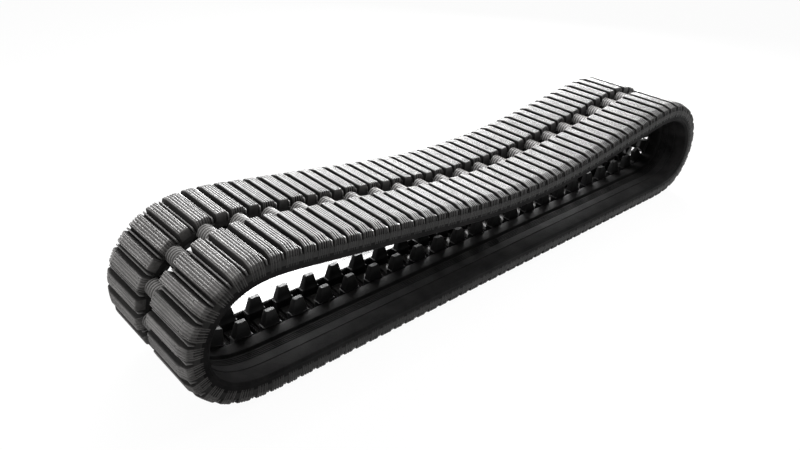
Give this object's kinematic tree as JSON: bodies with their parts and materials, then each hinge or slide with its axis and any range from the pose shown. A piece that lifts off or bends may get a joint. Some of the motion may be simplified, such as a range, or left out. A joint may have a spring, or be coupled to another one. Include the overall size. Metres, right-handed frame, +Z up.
{
  "type": "rubber crawler track",
  "caption": "Endless rubber crawler track with transverse bar lugs, half-round saddles between sprocket holes, paired inner guide horns, embedded steel cores and cord plies.",
  "frame": {"origin": "centre of the footprint on the floor, under the middle of the loop", "axes": "+X along the track to the far bend, +Y across the track, +Z up"},
  "size_m": [2.137, 0.4, 0.389],
  "materials": {
    "tread_rubber": "satin",
    "path_rubber": "matte",
    "cord_ply": "matte",
    "coated_core": "satin"
  },
  "bodies": {
    "root": {"tread_band_near": "tread_rubber", "tread_band_far": "tread_rubber", "cord_ply_near": "cord_ply", "cord_ply_far": "cord_ply", "roller_path_near": "path_rubber", "roller_path_far": "path_rubber", "core_01": "coated_core", "core_02": "coated_core", "core_03": "coated_core", "core_04": "coated_core", "core_05": "coated_core", "core_06": "coated_core", "core_07": "coated_core", "core_08": "coated_core", "core_09": "coated_core", "core_10": "coated_core", "core_11": "coated_core", "core_12": "coated_core", "core_13": "coated_core", "core_14": "coated_core", "core_15": "coated_core", "core_16": "coated_core", "core_17": "coated_core", "core_18": "coated_core", "core_19": "coated_core", "core_20": "coated_core", "core_21": "coated_core", "core_22": "coated_core", "core_23": "coated_core", "core_24": "coated_core", "core_25": "coated_core", "core_26": "coated_core", "core_27": "coated_core", "core_28": "coated_core", "core_29": "coated_core", "core_30": "coated_core", "core_31": "coated_core", "core_32": "coated_core", "core_33": "coated_core", "core_34": "coated_core", "core_35": "coated_core", "core_36": "coated_core", "core_37": "coated_core", "core_38": "coated_core", "core_39": "coated_core", "core_40": "coated_core", "core_41": "coated_core", "core_42": "coated_core", "core_43": "coated_core", "core_44": "coated_core", "core_45": "coated_core", "core_46": "coated_core", "core_47": "coated_core", "core_48": "coated_core", "core_49": "coated_core", "core_50": "coated_core", "core_51": "coated_core", "core_52": "coated_core"}
  },
  "joints": []
}
